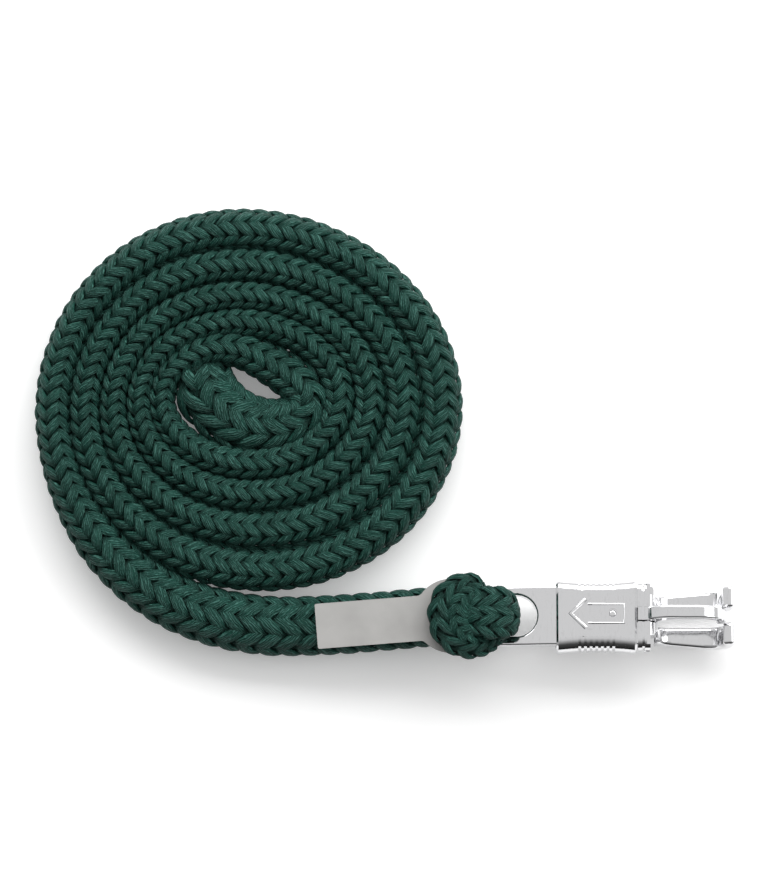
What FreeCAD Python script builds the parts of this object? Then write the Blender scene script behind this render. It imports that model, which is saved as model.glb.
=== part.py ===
import FreeCAD, Part
import math
import os

import Sketcher
from FreeCAD import Placement, Rotation, Vector

# A horse's lead rope: a hollow braided rope, coiled flat, spliced round the eye of a
# quick-release (panic) snap, with a bare hang tag held under the splice.
# The origin lies under the middle of the snap, on the surface that everything lies on.
# +X runs along the snap from its eye to its hook, +Z is up.

SIZES = {
    # snap, measured from its middle along X and from its own axis
    "snap_reach": 53.1, "snap_roll": 12.0, "axis_height": 14.95, "past": 60.0,
    # eye plate and shank
    "eye_half_y": 12.5, "eye_corner": 8.0, "bar_end": 47.6, "hole_end": 29.4, "hole_radius": 8.7,
    "hole_corner": 3.5, "eye_half": 2.2, "shank_half": 4.0, "taper_start": 43.0, "taper_end": 25.0,
    "shank_end": 12.5, "slot_left": 16.5, "slot_right": 3.45, "slot_half": 2.1, "rim_round": 0.9,
    # grooved collar in front of the sleeve, and the pocket that the jaw's heel turns in
    "collar_start": 12.35, "collar_end": 17.6, "collar_half_y": 14.7, "collar_half_z": 6.6,
    "collar_round": 4.4, "groove_start": 14.2, "groove_end": 15.2, "groove_half_y": 13.9,
    "groove_half_z": 5.8, "heel_left": 7.8, "heel_floor": 2.95, "jaw_slot_half": 3.1,
    # fixed fork, the lower half of the hook's ring
    "ring_left": 27.3, "ring_right": 40.1, "ring_outer": 13.0, "ring_inner": 8.0, "fork_half": 12.7,
    "tip_rise": 9.8, "shoulder_radius": 5.6, "waist_half": 10.4, "tip_half": 12.5, "tip_start": 47.0,
    "tine_start": 21.2, "cheek_radius": 3.8, "cheek_half": 8.5, "fork_round": 1.5,
    # hinged jaw and its pin
    "pin_x": 16.2, "pin_z": 1.2, "pin_radius": 1.5, "pin_half": 14.0, "jaw_half": 2.75,
    "jaw_bore": 1.56, "knuckle": 3.85, "heel_top": 8.2, "heel_right": 16.6, "arch_left": 29.5,
    "arch_right": 36.5, "arch_outer": 12.8, "arch_inner": 8.8, "jaw_tip_drop": 2.2, "jaw_round": 0.9,
    # locking sleeve
    "sleeve_left": 21.5, "sleeve_right": 11.9, "sleeve_middle": 4.8, "sleeve_half_y": 15.9,
    "sleeve_half_z": 7.5, "sleeve_round": 5.5, "waist_half_y": 15.0, "cavity_half_y": 12.9,
    "cavity_half_z": 4.4, "cavity_round": 1.0, "sleeve_edge": 0.8,
    "edge_half_y": 15.2, "edge_half_z": 6.8, "edge_corner": 4.8,
    "grip_count": 7, "grip_pitch": 2.35, "grip_left": 12.4, "grip_width": 1.15, "grip_face": 9.6,
    "grip_half_y": 14.25, "grip_half_z": 2.85, "grip_round": 4.65, "grip_top": 7.3,
    # slide arrow, stop pin and its dimple on the sleeve's face
    "arrow_tip": 16.3, "arrow_back": 8.6, "arrow_half": 6.6, "arrow_line": 1.9, "arrow_height": 0.4,
    "shaft_right": 7.0, "shaft_half": 4.0, "shaft_line": 0.7, "pad_left": 0.6, "pad_height": 0.2,
    "stop_x": 1.9, "stop_radius": 1.5, "stop_foot": 4.2, "stop_head": 7.55, "stop_dome": 0.7,
    "dimple_radius": 2.1, "dimple_depth": 0.45,
    # return spring in the shank's slot
    "spring_radius": 1.65, "wire_radius": 0.25, "spring_left": 16.2, "spring_length": 16.2,
    "spring_pitch": 1.62,
    # rope: its coil, the doubled tail, and the splice round the eye
    "coil_x": 149.9, "coil_y": 88.6, "coil_height": 22.0, "coil_edge": 4.0, "rope_half": 7.6,
    "tail_radius": 11.25, "tail_bore": 7.0, "tucked_radius": 6.8, "knot_left": 75.0,
    "knot_right": 55.0, "knot_y": 0.3, "knot_half_y": 10.6, "knot_top": 22.4, "knot_round": 4.0,
    "neck_x": 65.2, "neck_y": 0.6, "neck_radius": 8.3, "cap_low": 24.6, "cap_height": 8.0,
    "cap_half_x": 10.3, "cap_half_y": 15.8, "cap_corner": 9.0, "cap_round": 3.4,
    "bight_x": 52.0, "bight_z": 2.9, "bight_left": 57.0, "bight_outer": 15.2, "bight_inner": 9.3,
    "bight_half": 7.8, "bight_round": 2.6,
    # hang tag
    "tag_ring": 15.4, "tag_hole": 8.8, "tag_length": 56.2, "tag_half": 9.35, "tag_low": 22.8,
    "tag_thick": 1.2, "tag_corner": 0.8, "tag_flare": 3.0, "tag_turn": 4.5,
}

doc = FreeCAD.newDocument("LeadRope")
sheet = doc.addObject("Spreadsheet::Sheet", "Sizes")
for row, (alias, size) in enumerate(SIZES.items(), start=1):
    sheet.set(f"A{row}", alias)
    sheet.set(f"B{row}", str(size))
    sheet.setAlias(f"B{row}", alias)
doc.recompute()


def size(alias):
    """A driving dimension, read back from the sheet."""
    return float(sheet.get(alias))


def total(terms):
    """The value of signed aliases, such as '-bar_end +rim_round'."""
    return sum((-1.0 if term[0] == "-" else 1.0) * size(term[1:]) for term in terms.split())


def bound(terms):
    """The same signed aliases as an expression on the sheet."""
    return " ".join(f"{term[0]} Sizes.{term[1:]}" for term in terms.split())


def new_body(label):
    body = doc.addObject("PartDesign::Body", label)
    body.Label = label
    return body


def sketch_on(body, role, name, offset=""):
    """A sketch on one of the body's own origin planes, moved along the plane's normal."""
    sketch = body.newObject("Sketcher::SketchObject", name)
    plane = [part for part in body.Origin.OriginFeatures if part.Role == role][0]
    sketch.AttachmentSupport = (plane, [""])
    sketch.MapMode = "FlatFace"
    if offset:
        sketch.AttachmentOffset = Placement(Vector(0, 0, total(offset)), Rotation())
        sketch.setExpression(".AttachmentOffset.Base.z", bound(offset))
    return sketch


def fix(sketch, kind, first, expression_terms):
    """Bind one distance of a vertex from the sketch's origin, or put it on the axis."""
    geometry, position = first
    value = total(expression_terms) if expression_terms else 0.0
    if abs(value) < 1e-9:
        axis = -2 if kind == "DistanceX" else -1
        sketch.addConstraint(Sketcher.Constraint("PointOnObject", geometry, position, axis))
        return
    if value > 0:
        ends = (-1, 1, geometry, position)
        expression = bound(expression_terms)
    else:
        ends = (geometry, position, -1, 1)
        expression = f"-1 * ({bound(expression_terms)})"
    index = sketch.addConstraint(Sketcher.Constraint(kind, *ends, abs(value)))
    sketch.setExpression(f"Constraints[{index}]", expression)


def outline(sketch, corners):
    """A closed outline. Each corner is (x, y) or (x, y, radius): the edge from that corner
    to the next is then an arc, turning left for '+alias' and right for '-alias'."""
    count = len(corners)
    points = [Vector(total(corner[0]) if corner[0] else 0, total(corner[1]) if corner[1] else 0, 0)
              for corner in corners]
    edges = []
    for index, corner in enumerate(corners):
        start, end = points[index], points[(index + 1) % count]
        if len(corner) == 2:
            edges.append((sketch.addGeometry(Part.LineSegment(start, end)), 1, 2))
            continue
        radius = total(corner[2])
        chord = end - start
        rise = math.sqrt(max(radius ** 2 - (chord.Length / 2) ** 2, 0.0))
        side = Vector(-chord.y, chord.x, 0).normalize() * math.copysign(rise, radius)
        centre = (start + end) / 2 + side
        angles = [math.atan2(point.y - centre.y, point.x - centre.x) for point in (start, end)]
        circle = Part.Circle(centre, Vector(0, 0, 1), abs(radius))
        if radius > 0:
            arc = sketch.addGeometry(Part.ArcOfCircle(circle, angles[0], angles[1]))
            edges.append((arc, 1, 2))
        else:
            arc = sketch.addGeometry(Part.ArcOfCircle(circle, angles[1], angles[0]))
            edges.append((arc, 2, 1))
        if rise > 1e-6:
            held = sketch.addConstraint(Sketcher.Constraint("Radius", arc, abs(radius)))
            sketch.setExpression(f"Constraints[{held}]", bound("+" + corner[2][1:]))
    for index, corner in enumerate(corners):
        edge, start, _ = edges[index]
        before, _, end = edges[index - 1]
        sketch.addConstraint(Sketcher.Constraint("Coincident", before, end, edge, start))
        fix(sketch, "DistanceX", (edge, start), corner[0])
        fix(sketch, "DistanceY", (edge, start), corner[1])


def circle(sketch, x, y, radius):
    centre = Vector(total(x) if x else 0, total(y) if y else 0, 0)
    index = sketch.addGeometry(Part.Circle(centre, Vector(0, 0, 1), size(radius)))
    fix(sketch, "DistanceX", (index, 3), x)
    fix(sketch, "DistanceY", (index, 3), y)
    held = sketch.addConstraint(Sketcher.Constraint("Radius", index, size(radius)))
    sketch.setExpression(f"Constraints[{held}]", bound("+" + radius))


def rectangle(sketch, left, bottom, right, top):
    outline(sketch, [(left, bottom), (right, bottom), (right, top), (left, top)])


def rounded_rectangle(sketch, half_x, half_y, radius):
    """A rectangle about the origin with quarter-round corners."""
    x, y = "+" + half_x, "+" + half_y
    back, turn = " -" + radius, "+" + radius
    left, low = "-" + half_x, "-" + half_y
    forward = " +" + radius
    outline(sketch, [
        (left + forward, low), (x + back, low, turn), (x, low + forward), (x, y + back, turn),
        (x + back, y), (left + forward, y, turn), (left, y + back), (left, low + forward, turn),
    ])


def pad(body, sketch, length="", symmetric=False, reverse=False):
    feature = body.newObject("PartDesign::Pad", sketch.Name + "Pad")
    feature.Profile = sketch
    feature.SideType = "Symmetric" if symmetric else "One side"
    feature.Reversed = reverse
    feature.setExpression("Length", bound(length))
    doc.recompute()
    return feature


def pocket(body, sketch, length="", symmetric=False, reverse=False):
    """Cut through all, or to a length. It has to remove something."""
    before = body.Shape.Volume
    feature = body.newObject("PartDesign::Pocket", sketch.Name + "Pocket")
    feature.Profile = sketch
    feature.SideType = "Symmetric" if symmetric else "One side"
    feature.Reversed = reverse
    if length:
        feature.setExpression("Length", bound(length))
    else:
        feature.Type = "ThroughAll"
    doc.recompute()
    if body.Shape.Volume > before - 0.01:
        raise RuntimeError(f"{feature.Name} cuts nothing")
    return feature


def fillet(body, radius, chosen):
    """Round the edges of the body's last feature that the test picks."""
    base = body.Tip
    names = [f"Edge{n}" for n, edge in enumerate(base.Shape.Edges, start=1) if chosen(edge)]
    if not names:
        raise RuntimeError(f"no edge to round on {body.Label}")
    feature = body.newObject("PartDesign::Fillet", body.Name + "Round")
    feature.Base = (base, names)
    feature.setExpression("Radius", bound(radius))
    doc.recompute()
    if "Invalid" in feature.State:
        raise RuntimeError(f"{feature.Name} can't round {names}")
    return feature


def middle(edge):
    return edge.valueAt((edge.FirstParameter + edge.LastParameter) / 2)


def is_upright(edge):
    return len(edge.Vertexes) == 2 and edge.BoundBox.ZLength > 1 and edge.BoundBox.XLength < 1e-3 \
        and edge.BoundBox.YLength < 1e-3


# ---- snap -------------------------------------------------------------------------------


def roll_with_snap(part):
    """Everything on the snap lies rolled about its own axis, as it rests on one tine."""
    part.Placement = Placement(Vector(0, 0, size("axis_height")),
                               Rotation(Vector(1, 0, 0), -size("snap_roll")))
    part.setExpression(".Placement.Base.z", bound("+axis_height"))
    part.setExpression(".Placement.Rotation.Angle", "-1 * Sizes.snap_roll")


def make_snap_body():
    """One casting: eye plate, flat shank, grooved collar and two-tined fork."""
    body = new_body("snap_body")
    plate = sketch_on(body, "XY_Plane", "Plate")
    rectangle(plate, "-snap_reach", "-eye_half_y", "+shank_end", "+eye_half_y")
    pad(body, plate, "+shank_half +shank_half", symmetric=True)
    fillet(body, "+eye_corner", lambda edge: is_upright(edge) and middle(edge).x < 0)

    # the shank is thick under the sleeve and thins towards the eye, above and below
    taper = sketch_on(body, "XZ_Plane", "Taper")
    for up in "+-":
        outline(taper, [
            ("-past", f"{up}eye_half"), ("-taper_start", f"{up}eye_half"),
            ("-taper_end", f"{up}shank_half"), ("-taper_end", f"{up}collar_half_z"),
            ("-past", f"{up}collar_half_z"),
        ])
    pocket(body, taper, symmetric=True)

    hole = sketch_on(body, "XY_Plane", "EyeHole")
    outline(hole, [
        ("-bar_end", "+hole_radius -hole_corner"),
        ("-bar_end", "-hole_radius +hole_corner", "+hole_corner"),
        ("-bar_end +hole_corner", "-hole_radius"),
        ("-hole_end -hole_radius", "-hole_radius", "+hole_radius"),
        ("-hole_end", "", "+hole_radius"), ("-hole_end -hole_radius", "+hole_radius"),
        ("-bar_end +hole_corner", "+hole_radius", "+hole_corner"),
    ])
    pocket(body, hole, symmetric=True)
    fillet(body, "+rim_round", lambda edge: edge.BoundBox.ZLength < 2.0 and edge.BoundBox.YLength < 20)

    slot = sketch_on(body, "XY_Plane", "SpringSlot")
    rectangle(slot, "-slot_left", "-slot_half", "+slot_right", "+slot_half")
    pocket(body, slot, symmetric=True)

    collar = sketch_on(body, "YZ_Plane", "Collar", "+collar_start")
    rounded_rectangle(collar, "collar_half_y", "collar_half_z", "collar_round")
    pad(body, collar, "+collar_end -collar_start")
    groove = sketch_on(body, "YZ_Plane", "CollarGroove", "+groove_start")
    rectangle(groove, "-past", "-past", "+past", "+past")
    rounded_rectangle(groove, "groove_half_y", "groove_half_z", "collar_round")
    pocket(body, groove, "+groove_end -groove_start", reverse=True)

    ring = sketch_on(body, "XZ_Plane", "Ring")
    for radius in ("ring_outer", "ring_inner"):
        outline(ring, [
            ("+ring_left", f"-{radius}"), ("+ring_right", f"-{radius}", f"+{radius}"),
            (f"+ring_right +{radius}", "", f"+{radius}"), ("+ring_right", f"+{radius}"),
            ("+ring_left", f"+{radius}", f"+{radius}"), (f"+ring_left -{radius}", "", f"+{radius}"),
        ])
    pad(body, ring, "+fork_half +fork_half", symmetric=True)

    # the gate side of the ring is open above, and the tines' tips rise at the nose
    gate = sketch_on(body, "XZ_Plane", "Gate")
    outline(gate, [
        ("+collar_start", "+collar_half_z"), ("+collar_end", "+collar_half_z"), ("+collar_end", ""),
        ("+ring_right", ""), ("+past", "+tip_rise"), ("+past", "+past"), ("+collar_start", "+past"),
    ])
    pocket(body, gate, symmetric=True)

    cheek = sketch_on(body, "XZ_Plane", "Cheek")
    circle(cheek, "+pin_x", "+pin_z", "cheek_radius")
    pad(body, cheek, "+cheek_half +cheek_half", symmetric=True)

    # shoulders narrow from the collar to the tines, and the tips flare again
    plan = sketch_on(body, "XY_Plane", "Plan")
    outline(plan, [
        ("+collar_end", "+waist_half +shoulder_radius", "+shoulder_radius"),
        ("+collar_end +shoulder_radius", "+waist_half"), ("+tip_start", "+tip_half"),
        ("+past", "+tip_half"), ("+past", "+past"), ("+collar_end", "+past"),
    ])
    outline(plan, [
        ("+collar_end", "-past"), ("+past", "-past"), ("+past", "-tip_half"), ("+tip_start", "-tip_half"),
        ("+collar_end +shoulder_radius", "-waist_half", "+shoulder_radius"),
        ("+collar_end", "-waist_half -shoulder_radius"),
    ])
    pocket(body, plan, symmetric=True)

    tines = sketch_on(body, "XY_Plane", "TineGap")
    rectangle(tines, "+tine_start", "-jaw_slot_half", "+past", "+jaw_slot_half")
    pocket(body, tines, symmetric=True)
    heel = sketch_on(body, "XY_Plane", "HeelPocket", "-heel_floor")
    rectangle(heel, "+heel_left", "-jaw_slot_half", "+tine_start", "+jaw_slot_half")
    pocket(body, heel, reverse=True)

    shoulder_end = size("collar_end") + size("shoulder_radius")
    fillet(body, "+fork_round", lambda edge: edge.BoundBox.XMin > shoulder_end - 0.1)

    bore = sketch_on(body, "XZ_Plane", "PinBore")
    circle(bore, "+pin_x", "+pin_z", "pin_radius")
    pocket(body, bore, symmetric=True)
    roll_with_snap(body)
    return body


def make_jaw():
    """The hinged half of the hook: knuckle, locking heel and arch."""
    body = new_body("jaw")
    side = sketch_on(body, "XZ_Plane", "JawSide")
    outline(side, [
        ("+pin_x -knuckle", "+pin_z", "+knuckle"), ("+pin_x", "+pin_z -knuckle", "+knuckle"),
        ("+pin_x +knuckle", "+pin_z"), ("+arch_left -arch_inner", "+pin_z", "-arch_inner"),
        ("+arch_left", "+arch_inner"), ("+arch_right", "+arch_inner", "-arch_inner"),
        ("+arch_right +arch_inner", "-jaw_tip_drop"),
        ("+arch_right +arch_outer", "-jaw_tip_drop", "+arch_outer"), ("+arch_right", "+arch_outer"),
        ("+arch_left", "+arch_outer", "+arch_outer"), ("+heel_right", "+heel_top"),
        ("+pin_x -knuckle", "+heel_top"),
    ])
    pad(body, side, "+jaw_half +jaw_half", symmetric=True)
    arch_start = size("heel_right")
    fillet(body, "+jaw_round", lambda edge: edge.BoundBox.XMin > arch_start - 0.1
           and edge.BoundBox.YLength < 0.1)
    bore = sketch_on(body, "XZ_Plane", "JawBore")
    circle(bore, "+pin_x", "+pin_z", "jaw_bore")
    pocket(body, bore, symmetric=True)
    roll_with_snap(body)
    return body


def make_jaw_pin():
    body = new_body("jaw_pin")
    section = sketch_on(body, "XZ_Plane", "PinSection")
    circle(section, "+pin_x", "+pin_z", "pin_radius")
    pad(body, section, "+pin_half +pin_half", symmetric=True)
    roll_with_snap(body)
    return body


def make_sleeve():
    """The locking sleeve: waisted sides with grip ribs, a slide arrow and the stop pin's hole."""
    body = new_body("sleeve")
    sections = {}
    for name, place, half_y, half_z, corner in (
            ("RearFace", "-sleeve_left", "edge_half_y", "edge_half_z", "edge_corner"),
            ("Rear", "-sleeve_left +sleeve_edge", "sleeve_half_y", "sleeve_half_z", "sleeve_round"),
            ("Waist", "-sleeve_middle", "waist_half_y", "sleeve_half_z", "sleeve_round"),
            ("Front", "+sleeve_right -sleeve_edge", "sleeve_half_y", "sleeve_half_z", "sleeve_round"),
            ("FrontFace", "+sleeve_right", "edge_half_y", "edge_half_z", "edge_corner")):
        sections[name] = sketch_on(body, "YZ_Plane", name, place)
        rounded_rectangle(sections[name], half_y, half_z, corner)
    for names in (("Rear", "Waist", "Front"), ("RearFace", "Rear"), ("Front", "FrontFace")):
        loft = body.newObject("PartDesign::AdditiveLoft", "Between" + "And".join(names))
        loft.Profile = sections[names[0]]
        loft.Sections = [sections[name] for name in names[1:]]
        loft.Ruled = len(names) == 2
        doc.recompute()

    cavity = sketch_on(body, "YZ_Plane", "Cavity")
    rounded_rectangle(cavity, "cavity_half_y", "cavity_half_z", "cavity_round")
    pocket(body, cavity, symmetric=True)

    grip = sketch_on(body, "YZ_Plane", "Grip", "-grip_left")
    for side in "+-":
        turn = "-" if side == "+" else "+"
        outline(grip, [
            (f"{side}grip_face", "+grip_top", f"{turn}grip_round"),
            (f"{side}grip_half_y", "+grip_half_z"),
            (f"{side}grip_half_y", "-grip_half_z", f"{turn}grip_round"),
            (f"{side}grip_face", "-grip_top"), (f"{side}grip_face", "-past"),
            (f"{side}past", "-past"), (f"{side}past", "+past"), (f"{side}grip_face", "+past"),
        ])
    grooves = pocket(body, grip, "+grip_width", reverse=True)
    row = body.newObject("PartDesign::LinearPattern", "GripRow")
    row.Originals = [grooves]
    row.Direction = ([axis for axis in body.Origin.OriginFeatures if axis.Role == "X_Axis"][0], [""])
    row.setExpression("Occurrences", "Sizes.grip_count")
    row.setExpression("Length", "Sizes.grip_pitch * (Sizes.grip_count - 1)")
    body.Tip = row
    doc.recompute()

    pin_pad = sketch_on(body, "XY_Plane", "PinPad", "+sleeve_half_z")
    rectangle(pin_pad, "-pad_left", "-shaft_half", "+shaft_right", "+shaft_half")
    pad(body, pin_pad, "+pad_height")
    arrow = sketch_on(body, "XY_Plane", "Arrow", "+sleeve_half_z")
    outline(arrow, [
        ("-arrow_tip", ""), ("-arrow_back", "-arrow_half"), ("-arrow_back +arrow_line", "-arrow_half"),
        ("-arrow_tip +arrow_line", ""), ("-arrow_back +arrow_line", "+arrow_half"),
        ("-arrow_back", "+arrow_half"),
    ])
    outline(arrow, [
        ("-arrow_back +arrow_line", "-shaft_half"), ("+shaft_right", "-shaft_half"),
        ("+shaft_right", "+shaft_half"), ("-arrow_back +arrow_line", "+shaft_half"),
        ("-arrow_back +arrow_line", "+shaft_half -shaft_line"),
        ("+shaft_right -shaft_line", "+shaft_half -shaft_line"),
        ("+shaft_right -shaft_line", "-shaft_half +shaft_line"),
        ("-arrow_back +arrow_line", "-shaft_half +shaft_line"),
    ])
    pad(body, arrow, "+arrow_height")

    stop = sketch_on(body, "XY_Plane", "StopHole")
    circle(stop, "+stop_x", "", "stop_radius")
    pocket(body, stop, reverse=True)
    dimple = sketch_on(body, "XY_Plane", "Dimple", "+sleeve_half_z +pad_height")
    circle(dimple, "+stop_x", "", "dimple_radius")
    pocket(body, dimple, "+dimple_depth")
    roll_with_snap(body)
    return body


def make_stop_pin():
    """Fixed in the sleeve's face, it rides in the shank's slot and pushes on the spring."""
    body = new_body("sleeve_stop_pin")
    section = sketch_on(body, "XY_Plane", "StopSection", "-stop_foot")
    circle(section, "+stop_x", "", "stop_radius")
    pad(body, section, "+stop_foot +stop_head")
    top = size("stop_head")
    fillet(body, "+stop_dome", lambda edge: abs(middle(edge).z - top) < 1e-3)
    roll_with_snap(body)
    return body


def make_spring():
    """A round-wire compression spring along the shank's slot."""
    helix = doc.addObject("Part::Helix", "SpringLine")
    helix.setExpression("Pitch", "Sizes.spring_pitch")
    helix.setExpression("Height", "Sizes.spring_length")
    helix.setExpression("Radius", "Sizes.spring_radius")
    wire = doc.addObject("Part::Circle", "SpringWire")
    wire.setExpression("Radius", "Sizes.wire_radius")
    wire.Placement = Placement(Vector(size("spring_radius"), 0, 0), Rotation(Vector(1, 0, 0), 90))
    wire.setExpression(".Placement.Base.x", "Sizes.spring_radius")
    spring = doc.addObject("Part::Sweep", "sleeve_spring")
    spring.Label = "sleeve_spring"
    spring.Sections = [wire]
    spring.Spine = (helix, [])
    spring.Solid = True
    spring.Frenet = True
    along = Rotation(Vector(1, 0, 0), -size("snap_roll")).multiply(Rotation(Vector(0, 1, 0), 90))
    spring.Placement = Placement(Vector(-size("spring_left"), 0, size("axis_height")), along)
    doc.recompute()
    return spring


# ---- rope -------------------------------------------------------------------------------

# The coil is a flat spiral of ovals that shrink and drift as they go inwards. Its turns are
# counted from the left, where the tail joins it, over the far side and round.
COIL_HALF_X = (85.8, -15.6, 0.70)
COIL_HALF_Y = (80.4, -17.6, 0.92)
COIL_DRIFT_X = (3.9, -1.4)
COIL_DRIFT_Y = (-2.9, 1.36)
# The far side of every turn leans this share of its half-width to the left.
COIL_LEAN = 0.042
COIL_STEPS = 24

# The tail's route on the table, from the knot to the coil's outer turn.
TAIL_ROUTE = [
    (-75.0, -0.3), (-97.0, -2.3), (-119.0, -3.9), (-142.0, -4.3), (-164.5, -0.6), (-186.4, 8.2),
    (-205.0, 22.8), (-219.2, 41.6), (-228.4, 63.2), (-231.6, 85.2),
]


def polynomial(factors, turn):
    return sum(factor * turn ** power for power, factor in enumerate(factors))


def coil_point(turn, outwards=0.0):
    """A point on the rope's line in the coil, or that far outside it."""
    angle = 2 * math.pi * turn
    half_x = polynomial(COIL_HALF_X, turn) + outwards
    half_y = polynomial(COIL_HALF_Y, turn) + outwards
    x = -size("coil_x") + polynomial(COIL_DRIFT_X, turn) - half_x * math.cos(angle)
    x -= COIL_LEAN * half_y * max(math.sin(angle), 0.0) ** 2
    y = size("coil_y") + polynomial(COIL_DRIFT_Y, turn) + half_y * math.sin(angle)
    return Vector(x, y, 0)


def make_coil():
    """The outer shape of the coiled rope, whose first turn ends a rope's width further in."""
    points = [coil_point(step / COIL_STEPS, size("rope_half")) for step in range(COIL_STEPS + 1)]
    curve = Part.BSplineCurve()
    curve.interpolate(points)
    rim = Part.Wire([curve.toShape(), Part.LineSegment(points[-1], points[0]).toShape()])
    solid = Part.Face(rim).extrude(Vector(0, 0, size("coil_height")))
    long_edges = [edge for edge in solid.Edges if edge.Length > 100]
    coil = doc.addObject("Part::Feature", "rope_coil")
    coil.Label = "rope_coil"
    coil.Shape = solid.makeFillet(size("coil_edge"), long_edges)
    return coil


def tube_path(route, height):
    """Straight runs joined by tangent arcs, each as large as its two runs allow."""
    points = [Vector(x, y, height) for x, y in route]
    edges = []
    radii = []
    start = points[0]
    for before, corner, after in zip(points, points[1:], points[2:]):
        arriving = (corner - before).normalize()
        leaving = (after - corner).normalize()
        turn = arriving.getAngle(leaving)
        tangent = 0.45 * min((corner - before).Length, (after - corner).Length)
        radii.append(tangent / math.tan(turn / 2))
        arc_start = corner - arriving * tangent
        arc_end = corner + leaving * tangent
        bisector = (leaving - arriving).normalize()
        centre = corner + bisector * (radii[-1] / math.cos(turn / 2))
        arc_middle = centre - bisector * radii[-1]
        edges.append(Part.LineSegment(start, arc_start).toShape())
        edges.append(Part.Arc(arc_start, arc_middle, arc_end).toShape())
        start = arc_end
    edges.append(Part.LineSegment(start, points[-1]).toShape())
    return Part.Wire(edges), radii


def swept(path, radius):
    start = path.Edges[0]
    direction = start.tangentAt(start.FirstParameter)
    ring = Part.Wire([Part.Circle(start.valueAt(start.FirstParameter), direction, radius).toShape()])
    return path.makePipeShell([ring], True, False)


def make_tail():
    """The doubled stretch of rope beside the splice: a hollow braid round its own tucked end."""
    path, radii = tube_path(TAIL_ROUTE, size("tail_radius"))
    print("tail's arc radii, mm:", [round(radius) for radius in radii])
    outer = swept(path, size("tail_radius"))
    # the tucked end fills the braid for all but the last four runs
    core_path, _ = tube_path(TAIL_ROUTE[:-4], size("tail_radius"))
    tail = doc.addObject("Part::Feature", "rope_tail")
    tail.Label = "rope_tail"
    tail.Shape = outer.cut(swept(core_path, size("tail_bore")))
    section = math.pi * size("tail_radius") ** 2
    print("tail's outer volume against section times length:", outer.Volume / (section * path.Length))
    tucked = doc.addObject("Part::Feature", "rope_tucked_end")
    tucked.Label = "rope_tucked_end"
    tucked.Shape = swept(core_path, size("tucked_radius"))
    return tail, tucked


def make_knot():
    """Where the rope dives into itself: a block under the tag, a neck through it and a cap."""
    body = new_body("rope_knot")
    base = sketch_on(body, "XY_Plane", "KnotBase")
    rectangle(base, "-knot_left", "-knot_y -knot_half_y", "-knot_right", "-knot_y +knot_half_y")
    pad(body, base, "+knot_top")
    fillet(body, "+knot_round", lambda edge: edge.BoundBox.XLength > 5)
    neck = sketch_on(body, "XY_Plane", "KnotNeck", "+knot_top")
    circle(neck, "-neck_x", "+neck_y", "neck_radius")
    pad(body, neck, "+cap_low -knot_top")
    cap = sketch_on(body, "XY_Plane", "KnotCap", "+cap_low")
    left, right = "-neck_x -cap_half_x", "-neck_x +cap_half_x"
    low, high = "+neck_y -cap_half_y", "+neck_y +cap_half_y"
    outline(cap, [
        (left + " +cap_corner", low), (right + " -cap_corner", low, "+cap_corner"),
        (right, low + " +cap_corner"), (right, high + " -cap_corner", "+cap_corner"),
        (right + " -cap_corner", high), (left + " +cap_corner", high, "+cap_corner"),
        (left, high + " -cap_corner"), (left, low + " +cap_corner", "+cap_corner"),
    ])
    pad(body, cap, "+cap_height")
    crown = size("cap_low") + size("cap_height")
    fillet(body, "+cap_round", lambda edge: abs(middle(edge).z - crown) < 1e-3)
    return body


def make_bight():
    """The loop of rope that passes through the eye and over its bar."""
    body = new_body("rope_bight")
    side = sketch_on(body, "XZ_Plane", "BightSide")
    outline(side, [
        ("-bight_left", "+bight_z -bight_outer"), ("-bight_x", "+bight_z -bight_outer", "+bight_outer"),
        ("-bight_x +bight_outer", "+bight_z", "+bight_outer"), ("-bight_x", "+bight_z +bight_outer"),
        ("-bight_left", "+bight_z +bight_outer"), ("-bight_left", "+bight_z +bight_inner"),
        ("-bight_x", "+bight_z +bight_inner", "-bight_inner"),
        ("-bight_x +bight_inner", "+bight_z", "-bight_inner"), ("-bight_x", "+bight_z -bight_inner"),
        ("-bight_left", "+bight_z -bight_inner"),
    ])
    pad(body, side, "+bight_half +bight_half", symmetric=True)
    fillet(body, "+bight_round", lambda edge: edge.BoundBox.YLength < 1e-3 and edge.BoundBox.XLength > 1)
    roll_with_snap(body)
    return body


def make_tag():
    """A bare label whose ring end the splice passes through. It turns about the neck."""
    body = new_body("name_tag")
    ring = sketch_on(body, "XY_Plane", "TagRing")
    circle(ring, "", "", "tag_ring")
    pad(body, ring, "+tag_thick")
    strip = sketch_on(body, "XY_Plane", "TagStrip")
    rectangle(strip, "-tag_length", "-tag_half", "-tag_hole", "+tag_half")
    pad(body, strip, "+tag_thick")
    fillet(body, "+tag_corner", lambda edge: is_upright(edge) and middle(edge).x < -size("tag_ring"))
    side = size("tag_half")
    fillet(body, "+tag_flare", lambda edge: is_upright(edge) and abs(abs(middle(edge).y) - side) < 1e-3)
    hole = sketch_on(body, "XY_Plane", "TagHole")
    circle(hole, "", "", "tag_hole")
    pocket(body, hole, symmetric=True)
    body.Placement = Placement(Vector(-size("neck_x"), size("neck_y"), size("tag_low")),
                               Rotation(Vector(0, 0, 1), size("tag_turn")))
    return body


parts = [
    make_snap_body(), make_jaw(), make_jaw_pin(), make_sleeve(), make_stop_pin(), make_spring(),
    make_coil(), *make_tail(), make_knot(), make_bight(), make_tag(),
]
doc.recompute()

for item in doc.Objects:
    if "Invalid" in item.State or "Error" in item.State:
        raise RuntimeError(f"{item.Name} failed: {item.State}")
for part in parts:
    if part.Shape.isNull() or not part.Shape.isValid() or len(part.Shape.Solids) != 1:
        raise RuntimeError(f"{part.Label} is not one valid solid")

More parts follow.
